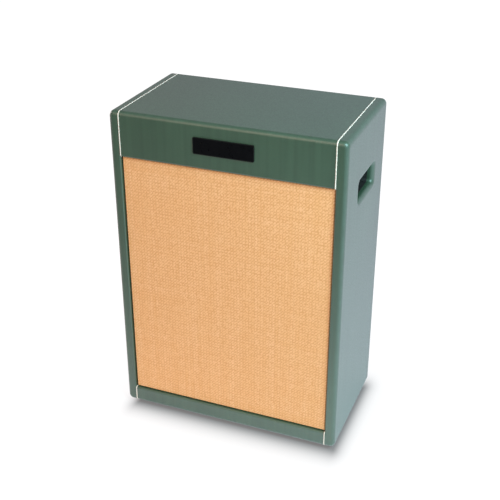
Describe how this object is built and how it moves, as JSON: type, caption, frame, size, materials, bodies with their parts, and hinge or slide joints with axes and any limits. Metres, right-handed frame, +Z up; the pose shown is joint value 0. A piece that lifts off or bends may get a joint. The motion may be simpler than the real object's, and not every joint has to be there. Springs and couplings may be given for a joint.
{
  "type": "guitar speaker cabinet",
  "caption": "Tall guitar speaker cabinet in green vinyl with cream piping, stacked drivers behind a pull-off cloth grille, hand slots, and a screwed back with a jack plate.",
  "frame": {"origin": "on the floor under the feet, at the middle of the cabinet's footprint", "axes": "+X to the right seen from the front, +Y to the rear, +Z up"},
  "size_m": [0.52, 0.2976, 0.7406],
  "materials": {
    "green_vinyl": "satin",
    "plywood": "matte",
    "black_ply": "matte",
    "cream_piping": "satin",
    "black_plastic": "matte",
    "rocker_plastic": "gloss",
    "foot_rubber": "matte",
    "badge_black": "gloss",
    "grille_cloth": "matte",
    "hook_and_loop": "matte",
    "basket_paint": "satin",
    "cone_paper": "matte",
    "cap_paper": "matte",
    "surround_cloth": "matte",
    "spider_cloth": "matte",
    "coil_copper": "satin",
    "ferrite": "matte",
    "zinc_steel": "satin",
    "screw_steel": "satin",
    "plate_paint": "satin",
    "gasket_board": "matte",
    "lead_rubber": "matte"
  },
  "bodies": {
    "cabinet": {"back_battens": "plywood", "back_panel_screws": "screw_steel", "badge_plate": "badge_black", "baffle_battens": "plywood", "baffle_board": "black_ply", "baffle_hook_pads": "hook_and_loop", "baffle_screws": "screw_steel", "bottom_panel": "plywood", "cable_clips": "black_plastic", "covering_bottom": "green_vinyl", "covering_left": "green_vinyl", "covering_right": "green_vinyl", "covering_top": "green_vinyl", "foot_screws": "screw_steel", "front_rail": "plywood", "handle_cup_screws": "screw_steel", "header_board": "plywood", "jack_nuts": "zinc_steel", "jack_plate": "plate_paint", "jack_plate_screws": "screw_steel", "jack_sockets": "black_plastic", "left_handle_cup": "black_plastic", "left_side_panel": "plywood", "lower_back_panel": "black_ply", "lower_basket": "basket_paint", "lower_magnet": "ferrite", "lower_piping": "cream_piping", "lower_pole_plates": "zinc_steel", "lower_speaker_lead": "lead_rubber", "lower_spider": "spider_cloth", "lower_surround": "surround_cloth", "right_handle_cup": "black_plastic", "right_side_panel": "plywood", "rubber_feet": "foot_rubber", "speaker_bolts": "zinc_steel", "speaker_gaskets": "gasket_board", "speaker_tee_nuts": "zinc_steel", "speaker_terminals": "zinc_steel", "switch_body": "black_plastic", "top_panel": "plywood", "upper_back_panel": "black_ply", "upper_basket": "basket_paint", "upper_magnet": "ferrite", "upper_piping": "cream_piping", "upper_pole_plates": "zinc_steel", "upper_speaker_lead": "lead_rubber", "upper_spider": "spider_cloth", "upper_surround": "surround_cloth"},
    "grille": {"grille_frame": "plywood", "grille_cloth": "grille_cloth", "grille_loop_pads": "hook_and_loop"},
    "removable_back": {"centre_back_panel": "black_ply", "centre_panel_screws": "screw_steel"},
    "upper_cone_assembly": {"upper_cone": "cone_paper", "upper_dust_cap": "cap_paper", "upper_voice_coil": "coil_copper"},
    "lower_cone_assembly": {"lower_cone": "cone_paper", "lower_dust_cap": "cap_paper", "lower_voice_coil": "coil_copper"},
    "rocker": {"switch_rocker": "rocker_plastic"}
  },
  "joints": [
    {"name": "grille_pull", "type": "slide", "parent": "cabinet", "child": "grille", "axis": [0, -1, 0], "range_m": [0, 0.15]},
    {"name": "centre_back_pull", "type": "slide", "parent": "cabinet", "child": "removable_back", "axis": [0, 1, 0], "range_m": [0, 0.2]},
    {"name": "upper_cone_travel", "type": "slide", "parent": "cabinet", "child": "upper_cone_assembly", "axis": [0, -1, 0], "range_m": [-0.0025, 0.0025], "stiffness_N_per_m": 7000, "deforming": ["upper_surround", "upper_spider"]},
    {"name": "lower_cone_travel", "type": "slide", "parent": "cabinet", "child": "lower_cone_assembly", "axis": [0, -1, 0], "range_m": [-0.0025, 0.0025], "stiffness_N_per_m": 7000, "deforming": ["lower_surround", "lower_spider"]},
    {"name": "mono_stereo_rock", "type": "hinge", "parent": "cabinet", "child": "rocker", "pos_m": [0, 0.1336, 0.15], "axis": [1, 0, 0], "range_deg": [0, 16]}
  ]
}
